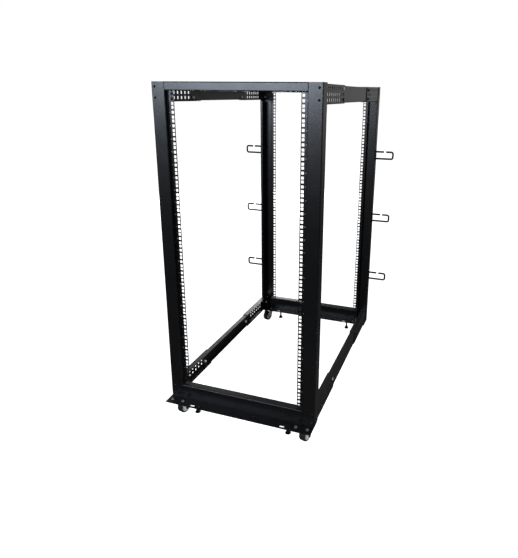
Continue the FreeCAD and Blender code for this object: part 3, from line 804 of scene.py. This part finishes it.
@dataclass(frozen=True)
class PostTrim:
    """A post's screws and its printed unit numbers."""

    screw_from_side: float = 13.0 * MM
    screw_spread: float = 18.0 * MM        # above and below the middle of a side rail
    nut_seat: float = 4.0 * MM             # outer face to the back of the rail's tab
    number_from_edge: float = 6.6 * MM     # flange's inner fold to the middle of a number
    number_tall: float = 5.2 * MM
    number_proud: float = 0.08 * MM

    def screws(self, kit: Kit, corner: Corner) -> None:
        """Screws through the outer face and the rail's tab, with their nuts behind.

        Args:
            kit: Where pieces are made.
            corner: The post's corner.
        """
        low, high = corner.box("post")
        x = corner.side.sign * (outermost(low, high) - self.screw_from_side)
        out = Vector((0, corner.end.outward, 0))
        heads, nuts = [], []
        for level, shift in product(Level, (-self.screw_spread, self.screw_spread)):
            rail_low, rail_high = corner.box(f"{level.value}_sleeve")
            place = Vector((x, corner.end.pick(low.y, high.y), (rail_low.z + rail_high.z) / 2 + shift))
            heads.append(ButtonScrew().shape().seated(place, out))
            nuts.append(HexNut().shape().seated(place - out * self.nut_seat, -out))
        kit.add(f"{corner.name}_post_screws", heads, BLACK_OXIDE, corner.end.body)
        kit.add(f"{corner.name}_post_nuts", nuts, ZINC, corner.end.body)

    def numbers(self, kit: Kit, digits: dict[int, Shape], corner: Corner) -> None:
        """The unit numbers up the flange, beside each unit's middle hole.

        Args:
            kit: Where pieces are made.
            digits: A shape for each number, drawn flat about the origin.
            corner: The post's corner.
        """
        turn = Matrix.Rotation(math.pi / 2, 4, "X")
        if corner.end is End.REAR:
            turn = Matrix.Rotation(math.pi, 4, "Z") @ turn
        x = corner.side.sign * (FOLD_X - self.number_from_edge)
        y = frame_plane(corner.end) + corner.end.outward * self.number_proud
        placed = [shape.moved(Matrix.Translation((x, y, unit_middle(unit))) @ turn)
                  for unit, shape in digits.items()]
        kit.add(f"{corner.name}_unit_numbers", placed, WHITE_INK, corner.end.body, smooth=False)

    def build(self, kit: Kit) -> None:
        """Trim all four posts."""
        digits = {unit: written(str(unit), self.number_tall) for unit in range(1, UNITS + 1)}
        for corner in CORNERS:
            self.screws(kit, corner)
            self.numbers(kit, digits, corner)


@dataclass(frozen=True)
class RailBolts:
    """The bolts that clamp the middle rails in their sleeves."""

    setback: tuple[float, float] = (21.0 * MM, 23.0 * MM)    # front and rear, from the mouth
    spread: float = 18.0 * MM
    clearance: float = 0.05 * MM
    web: float = 2.0 * MM

    def one(self, kit: Kit, corner: Corner) -> None:
        """Domed heads on a corner's two sleeves, and their nuts inside the middle rails.

        A head moves with its sleeve and a nut with its middle rail, so that each stays flat
        on the sheet that it bears on.

        Args:
            kit: Where pieces are made.
            corner: The corner.
        """
        end, sign = corner.end, corner.side.sign
        out = Vector((sign, 0, 0))
        bright, dark, nuts = [], [], []
        for level, shift in product(Level, (-self.spread, self.spread)):
            low, high = corner.box(f"{level.value}_sleeve")
            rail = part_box(f"{corner.side.value}_{level.value}_middle_rail")
            y = end.pick(high.y, low.y) + end.outward * end.pick(*self.setback)
            z = (low.z + high.z) / 2 + shift
            outside = outermost(low, high) + self.clearance
            inside = outermost(*rail) - self.web - self.clearance
            # the upper front head is zinc and its near-white colour is a painted glint; the other heads
            # are black oxide
            upper_front = end is End.FRONT and shift > 0
            (bright if upper_front else dark).append(
                CarriageHead().shape().seated((sign * outside, y, z), out))
            nuts.append(HexNut().shape().seated((sign * inside, y, z), -out))
        if bright:
            kit.add(f"{corner.name}_rail_bright_bolts", bright, GLINT_PAINTED_ZINC, end.body)
        kit.add(f"{corner.name}_rail_bolts", dark, BLACK_OXIDE, end.body)
        kit.add(f"{corner.name}_rail_nuts", nuts, ZINC, "middle_rails")

    def build(self, kit: Kit) -> None:
        """Bolt all four corners."""
        for corner in CORNERS:
            self.one(kit, corner)


@dataclass(frozen=True)
class CableHooks:
    """The wire cable hooks, each on its screwed plate."""

    wire: float = 4.5 * MM                 # radius
    bend: float = 8.5 * MM                 # radius of the wire's middle line
    gap: float = 10.0 * MM                 # in the upper run
    plate_sheet: float = 2.0 * MM
    plate_corner: float = 3.0 * MM
    fillet: float = 2.0 * MM
    filed: float = 0.6 * MM                # length of a cut end's filed edge
    filed_to: float = 0.7                  # what is left of the radius at its end
    screw_radius: float = 4.75 * MM
    screw_height: float = 2.6 * MM
    around: int = 16
    numbers: tuple[int, ...] = (1, 2, 3)   # up each rear post

    def path(self, reach: float, half_tall: float) -> list[np.ndarray]:
        """The wire's middle line as two runs in the plane of x and z.

        The lower run goes out, turns up through a quarter circle, rises, turns back through
        another and stops at the gap. The upper run goes from the gap back to the plate.

        Args:
            reach: From the plate's face to the middle of the far upright.
            half_tall: From the middle of the hook to the middle of a run.

        Returns:
            Two arrays of (x, z), the x counted from the plate's face.
        """
        b = self.bend
        middle = (reach + self.wire) / 2
        turn = np.linspace(0, math.pi / 2, 9)
        low = np.stack([reach - b + b * np.sin(turn), -half_tall + b - b * np.cos(turn)], axis=-1)
        high = np.stack([reach - b + b * np.cos(turn), half_tall - b + b * np.sin(turn)], axis=-1)
        around_end = np.concatenate([[(0.0, -half_tall)], low, high,
                                     [(middle + self.gap / 2, half_tall)]])
        back = np.array([(middle - self.gap / 2, half_tall), (0.0, half_tall)])
        return [around_end, back]

    def swept(self, path: np.ndarray) -> Shape:
        """A round wire along a flat path.

        The ring at a point lies across the path there: its points are the wire's radius
        times the cosine of an angle along the path's normal, less the sine along +Y. Each
        cut end is drawn in over a last short step, as a filed edge.

        Args:
            path: Points (x, z) of shape (n, 2).

        Returns:
            The closed wire.
        """
        ahead = np.gradient(path, axis=0)
        ahead /= np.linalg.norm(ahead, axis=1)[:, None]
        path = np.concatenate([path[:1], path[:1] + ahead[:1] * self.filed, path[1:-1],
                               path[-1:] - ahead[-1:] * self.filed, path[-1:]])
        ahead = np.concatenate([ahead[:1], ahead, ahead[-1:]])
        size = np.full(len(path), self.wire)
        size[[0, -1]] *= self.filed_to
        angle = np.arange(self.around) * (FULL_TURN / self.around)
        normal = np.stack([-ahead[:, 1], ahead[:, 0]], axis=-1)
        flat = path[:, None] + (size[:, None] * np.cos(angle))[..., None] * normal[:, None]
        side = size[:, None] * np.sin(angle)
        return lofted(np.stack([flat[..., 0], -side, flat[..., 1]], axis=-1))

    def plate(self, half_wide: float, half_tall: float) -> Shape:
        """A plate with rounded corners and a softened front edge, about +Z.

        Its outline is a rectangle whose corners are quarter circles, drawn in by a step at
        the front.
        """
        corner = self.plate_corner
        turn = np.linspace(0, math.pi / 2, 6)
        centres = ((1, 1), (-1, 1), (-1, -1), (1, -1))
        arcs = [np.stack([sx * (half_wide - corner) + corner * np.cos(turn + k * math.pi / 2),
                          sy * (half_tall - corner) + corner * np.sin(turn + k * math.pi / 2)], axis=-1)
                for k, (sx, sy) in enumerate(centres)]
        outline = np.concatenate(arcs)
        levels = ((1.0, 0.0), (1.0, self.plate_sheet * 0.75), (0.96, self.plate_sheet))
        return lofted(np.array([np.column_stack([outline * scale, np.full(len(outline), z)])
                                for scale, z in levels]))

    def weld(self) -> Shape:
        """A weld round a wire: a concave quarter circle between plate and wire.

        Returns:
            The closed solid about +Z, seated at z = 0.
        """
        f = self.fillet
        slope = [(self.wire + f - f * math.sin(t), f - f * math.cos(t))
                 for t in np.linspace(0.0, math.pi / 2, 6)]
        return stacked([(self.wire + f, -0.2 * MM), *slope], around=20)

    def build(self, kit: Kit) -> None:
        """Make the three hooks of each side."""
        for side, number in product(Side, self.numbers):
            self.one(kit, side, number)

    def one(self, kit: Kit, side: Side, number: int) -> None:
        """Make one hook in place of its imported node."""
        node = f"{side.value}_cable_hook_{number}"
        low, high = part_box(node)
        y, z = (low.y + high.y) / 2, (low.z + high.z) / 2
        seat = min(abs(low.x), abs(high.x))
        face = seat + self.plate_sheet
        reach = outermost(low, high) - self.wire - face
        out = Vector((side.sign, 0, 0))
        half_tall = RING_TALL / 2 - self.wire
        stand = Matrix(((side.sign, 0, 0, side.sign * face), (0, side.sign, 0, y),
                        (0, 0, 1, z), (0, 0, 0, 1)))
        shapes = [self.swept(path).moved(stand) for path in self.path(reach, half_tall)]
        upright = Matrix(((0, 0, side.sign, side.sign * seat), (side.sign, 0, 0, y), (0, 1, 0, z),
                          (0, 0, 0, 1)))
        shapes.append(self.plate((high.y - low.y) / 2, (high.z - low.z) / 2).moved(upright))
        shapes += [self.weld().seated((side.sign * face, y, z + shift), out)
                   for shift in (-half_tall, half_tall)]
        hook = kit.add(f"{side.value}_wire_hook_{number}", shapes, WIRE_COAT, End.REAR.body)
        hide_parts(node)
        screw = ButtonScrew(head_radius=self.screw_radius, head_height=self.screw_height)
        kit.add(f"{side.value}_hook_screw_{number}",
                [screw.shape().seated((side.sign * face, y, z), out)],
                BLACK_OXIDE, End.REAR.body)


@dataclass(frozen=True)
class FootTrim:
    """A levelling foot's thread and the two nuts in which it turns."""

    pitch: float = 1.25 * MM
    root: float = 4.02 * MM
    crest: float = 4.13 * MM
    thread_low: float = 12.5 * MM          # above the foot's underside
    thread_proud: float = 0.3 * MM         # past the stem's end
    nut_turn: float = 0.3                  # radians
    around: int = 16
    rings_a_turn: int = 8

    def thread(self, length: float) -> Shape:
        """A screw thread: the radius at angle a and height z swings between root and crest
        as the triangle wave of z over the pitch less a over a full turn.

        Args:
            length: Threaded length.

        Returns:
            The closed solid about +Z, starting at z = 0.
        """
        count = int(length / self.pitch * self.rings_a_turn)
        heights = np.linspace(0, length, count)
        angle = np.arange(self.around) * (FULL_TURN / self.around)
        phase = heights[:, None] / self.pitch - angle[None, :] / FULL_TURN
        wave = np.abs(2 * (phase - np.floor(phase)) - 1)
        radius = self.root + (self.crest - self.root) * wave
        return lofted(np.stack([radius * np.cos(angle), radius * np.sin(angle),
                                np.repeat(heights[:, None], self.around, axis=1)], axis=-1))

    def build(self, kit: Kit) -> None:
        """Trim the four feet."""
        for end in End:
            _, plate_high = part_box(f"{end.value}_base_plate")
            nuts = []
            for corner in (Corner(end, side) for side in Side):
                low, high = corner.box("levelling_foot")
                x, y = (low.x + high.x) / 2, (low.y + high.y) / 2
                bottom = low.z + self.thread_low
                thread = self.thread(high.z - bottom + self.thread_proud)
                kit.add(f"{corner.name}_foot_thread", [thread.seated((x, y, bottom), UP)],
                        BLACK_OXIDE, f"{corner.name}_foot")
                nut = StemNut()
                under = plate_high.z - PLATE_SHEET - nut.height
                nuts += [nut.shape().seated((x, y, z), UP, self.nut_turn)
                         for z in (under, plate_high.z)]
            kit.add(f"{end.value}_foot_nuts", nuts, BLACK_OXIDE, end.body)


@dataclass(frozen=True)
class CasterTrim:
    """A caster's plate bolts, its axle bolt, king pin and ribbed tyre."""

    bolt_step: float = 22.5 * MM           # plate bolts from the swivel's axis, both ways
    head_reach: float = 6.0 * MM           # half the room that a plate bolt's head takes up
    head_turn: float = 0.35                # radians, as the next two are
    nut_turn: float = 0.2
    axle_turn: float = 0.5
    mounting_sheet: float = 2.5 * MM
    cheek_reach: float = 18.0 * MM         # axle's middle to a cheek's outer face
    pin_radius: float = 6.0 * MM
    pin_height: float = 2.6 * MM
    fork_top_low: float = 58.5 * MM        # underside of the fork's top, over the floor
    tyre_bore: float = 18.0 * MM
    tyre_half: float = 13.0 * MM
    tyre_crown: float = 8.0 * MM           # half width of the tread before its shoulders
    shoulder_drop: float = 2.5 * MM
    groove_at: tuple[float, ...] = (-4.2 * MM, 4.2 * MM)
    groove_wide: float = 0.9 * MM
    groove_deep: float = 0.8 * MM
    tyre_rings: int = 49
    plate_nut: HexNut = HexNut(height=3.6 * MM, thread_proud=0.8 * MM)
    axle_nut: HexNut = HexNut(height=3.8 * MM, thread_proud=1.0 * MM)
    axle_bolt: HexBolt = HexBolt(height=3.4 * MM)
    around: int = 72

    def tyre(self) -> Shape:
        """A tyre about +Z: its radius over the tread is the wheel's, less the square of the
        way into a shoulder times the shoulder's drop, less a flat-bottomed bell, the
        exponential of minus a fourth power, for each groove.

        Returns:
            The ring, centred on z = 0.
        """
        wheel = self.wheel_radius()
        across = np.linspace(-self.tyre_half, self.tyre_half, self.tyre_rings)
        past = np.clip((np.abs(across) - self.tyre_crown) / (self.tyre_half - self.tyre_crown), 0, 1)
        radius = wheel - self.shoulder_drop * past ** 2
        for centre in self.groove_at:
            radius = radius - self.groove_deep * np.exp(-((across - centre) / self.groove_wide) ** 4)
        tread = [(float(r), float(z)) for r, z in zip(radius, across)]
        bore = [(self.tyre_bore, z) for z in (self.tyre_half, -self.tyre_half)]
        return ringed([*tread, *bore], around=self.around)

    def wheel_radius(self) -> float:
        """Radius of a packed tyre: half its height."""
        low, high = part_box("front_left_caster_tyre")
        return (high.z - low.z) / 2

    def plate_bolts(self, kit: Kit, corner: Corner, swivel: Vector) -> None:
        """The bolts of the mounting plate: heads on the base plate and nuts underneath.

        A bolt under the sleeve has a flat head, sunk flush in the plate, so it shows none.

        Args:
            kit: Where pieces are made.
            corner: The caster's corner.
            swivel: Where it swivels.
        """
        _, plate_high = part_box(f"{corner.end.value}_base_plate")
        sleeve_low, sleeve_high = corner.box("base_sleeve")
        under = plate_high.z - PLATE_SHEET - self.mounting_sheet
        reach = self.head_reach
        heads, nuts = [], []
        for step_x, step_y in product((-self.bolt_step, self.bolt_step), repeat=2):
            x, y = swivel.x + step_x, swivel.y + step_y
            sunk = (sleeve_low.x - reach < x < sleeve_high.x + reach
                    and sleeve_low.y - reach < y < sleeve_high.y + reach)
            if not sunk:
                heads.append(HexBolt().shape().seated((x, y, plate_high.z), UP, self.head_turn))
            nuts.append(self.plate_nut.shape().seated((x, y, under), -UP, self.nut_turn))
        kit.add(f"{corner.name}_caster_bolts", heads, DULL_ZINC, corner.end.body)
        kit.add(f"{corner.name}_caster_nuts", nuts, DULL_ZINC, corner.end.body)

    def one(self, kit: Kit, joints: dict[str, dict], corner: Corner) -> None:
        """Trim one caster.

        Args:
            kit: Where pieces are made.
            joints: The record's joints by name.
            corner: The caster's corner.
        """
        name = corner.name
        swivel = Vector(joints[f"{name}_caster_swivel"]["pos_m"])
        spin = joints[f"{name}_wheel_spin"]
        middle, axle = Vector(spin["pos_m"]), Vector(spin["axis"])
        self.plate_bolts(kit, corner, swivel)
        ends = [fastener.shape().seated(middle + way * self.cheek_reach, way, self.axle_turn)
                for fastener, way in ((self.axle_bolt, axle), (self.axle_nut, -axle))]
        kit.add(f"{name}_axle_ends", ends, BLACK_OXIDE, f"{name}_swivel")
        pin = stacked([(self.pin_radius, 0.0),
                       *dome(self.pin_radius, 0.0, self.pin_height, (0.15, 1.4))])
        kit.add(f"{name}_king_pin_head", [pin.seated((swivel.x, swivel.y, self.fork_top_low), -UP)],
                ZINC, f"{name}_swivel")
        tyre = kit.add(f"{name}_ribbed_tyre", [self.tyre().seated(middle, axle)],
                       TYRE_RUBBER, f"{name}_wheel")
        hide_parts(f"{name}_caster_tyre")

    def build(self, kit: Kit, joints: dict[str, dict]) -> None:
        """Trim the four casters, by the record's joints."""
        for corner in CORNERS:
            self.one(kit, joints, corner)


# --------------------------------------------------------------------------- studio

@dataclass(frozen=True)
class Viewpoint:
    """The camera, by where it stands and how it is aimed."""

    place: tuple[float, float, float] = (0.7274, -1.9671, 1.2417)
    azimuth: float = 18.95
    elevation: float = 17.11
    roll: float = 0.68
    focal: float = 0.89521          # over the frame's long side
    shift: tuple[float, float] = (-0.06244, -0.05679)
    film: float = 36.0
    clip: tuple[float, float] = (0.05, 60.0)

    def build(self) -> None:
        """Make the camera and set it as the scene's."""
        az, el, roll = (math.radians(v) for v in (self.azimuth, self.elevation, self.roll))
        back = Vector((math.sin(az) * math.cos(el), -math.cos(az) * math.cos(el), math.sin(el)))
        level = Vector((math.cos(az), math.sin(az), 0))
        rise = back.cross(level)
        right = math.cos(roll) * level + math.sin(roll) * rise
        up = math.cos(roll) * rise - math.sin(roll) * level
        data = bpy.data.cameras.new("viewpoint")
        data.sensor_width = self.film
        data.lens = self.focal * self.film
        data.shift_x, data.shift_y = self.shift
        data.clip_start, data.clip_end = self.clip
        camera = linked(bpy.data.objects.new("viewpoint", data))
        rotation = Matrix((right, up, back)).transposed().to_4x4()
        camera.matrix_world = Matrix.Translation(Vector(self.place)) @ rotation
        bpy.context.scene.camera = camera


@dataclass(frozen=True)
class Softbox:
    """A rectangular area light that looks at a point."""

    name: str
    place: tuple[float, float, float]
    target: tuple[float, float, float]
    size: tuple[float, float]
    power: float
    colour: tuple[float, float, float] = (1.0, 1.0, 1.0)
    spread: float = 180.0                  # degrees

    def build(self) -> None:
        """Make the light."""
        data = bpy.data.lights.new(self.name, "AREA")
        data.spread = math.radians(self.spread)
        data.shape = "RECTANGLE"
        data.size, data.size_y = self.size
        data.energy = self.power
        data.color = self.colour
        lamp = linked(bpy.data.objects.new(self.name, data))
        place = Vector(self.place)
        aim = place - Vector(self.target)
        lamp.matrix_world = Matrix.Translation(place) @ aim.to_track_quat("Z", "Y").to_matrix().to_4x4()


@dataclass(frozen=True)
class Surroundings:
    """What the rack is lit by from all round: bright at the level of the eye, dark below.

    The camera itself sees plain white.
    """

    tones: tuple[tuple[float, float], ...] = (
        (-0.5, 0.055), (-0.3, 0.04), (-0.15, 0.1), (-0.03, 0.32), (0.15, 0.32),
        (0.45, 0.11))    # sine of the height above the horizon, light from there
    white: float = 1.0

    def build(self) -> None:
        """Make the world."""
        world = bpy.data.worlds.new("surroundings")
        world.use_nodes = True
        graph = NodeGraph(world.node_tree)
        ramp = graph.add("ShaderNodeValToRGB")
        stops = ramp.color_ramp.elements
        stops.remove(stops[1])
        for index, (height, tone) in enumerate(self.tones):
            place = (height + 1) / 2
            stop = stops[0] if index == 0 else stops.new(place)
            stop.position = place
            stop.color = (tone, tone, tone, 1)
        where = graph.add("ShaderNodeTexCoord")
        parts = graph.add("ShaderNodeSeparateXYZ")
        rise = graph.add("ShaderNodeMapRange", From_Min=-1.0)
        path = graph.add("ShaderNodeLightPath")
        mix = graph.add("ShaderNodeMixShader")
        seen = graph.add("ShaderNodeBackground", Strength=self.white, Color=(1, 1, 1, 1))
        lit = graph.nodes["Background"]
        for source, output, target, entry in (
                (where, "Generated", parts, 0), (parts, "Z", rise, "Value"),
                (rise, "Result", ramp, "Fac"), (ramp, "Color", lit, "Color"),
                (path, "Is Camera Ray", mix, 0), (lit, 0, mix, 1), (seen, 0, mix, 2),
                (mix, 0, graph.nodes["World Output"], "Surface")):
            graph.join(source, output, target, entry)
        bpy.context.scene.world = world


class Studio:
    """Floor, surroundings, lights and camera."""

    REACH = 30.0
    LIGHTS = (
        Softbox("front_softbox", (-1.62, -4.22, 1.74), (0, -0.46, 1.26), (2.2, 1.0), 82,
                colour=(0.88, 1.0, 1.17)),
        Softbox("low_softbox", (1.9, -1.6, 0.45), (0, -0.46, 0.0), (0.5, 0.5), 1.8, spread=35.0),
        Softbox("rear_softbox", (-2.2, 4.0, 1.0), (0, 0.46, 0.9), (2.0, 1.2), 60),
        Softbox("right_softbox", (3.6, -0.4, 2.2), (0, 0, 1.1), (1.6, 1.6), 20),
    )

    def floor(self) -> None:
        """A pale floor that runs to the horizon and throws no light up at the rack."""
        corners = self.REACH * np.array([(-1, -1, 0), (1, -1, 0), (1, 1, 0), (-1, 1, 0)])
        shape = Shape(corners, np.array([[0, 1, 2, 3]]), NO_TRIANGLES)
        floor = shape.as_object("floor", FLOOR.material())
        floor.visible_diffuse = False
        floor.visible_glossy = False

    def build(self) -> None:
        """Make the whole studio."""
        Viewpoint().build()
        self.floor()
        Surroundings().build()
        for light in self.LIGHTS:
            light.build()
        bpy.context.scene.view_settings.view_transform = "Standard"


def main() -> None:
    """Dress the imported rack, add what is fixed to it and set up the studio."""
    logging.basicConfig(level=logging.INFO, format="%(name)s: %(message)s")
    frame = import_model()
    joints = {joint["name"]: joint for joint in frame["record"]["behaviour"]["joints"]}
    PackedPieces(frame["nodes"]).dress()
    kit = Kit()
    PostTrim().build(kit)
    RailBolts().build(kit)
    CableHooks().build(kit)
    FootTrim().build(kit)
    CasterTrim().build(kit, joints)
    LOG.info("%d triangles added", kit.triangles)
    Studio().build()
    bpy.context.view_layer.update()


if __name__ == "__main__":
    main()
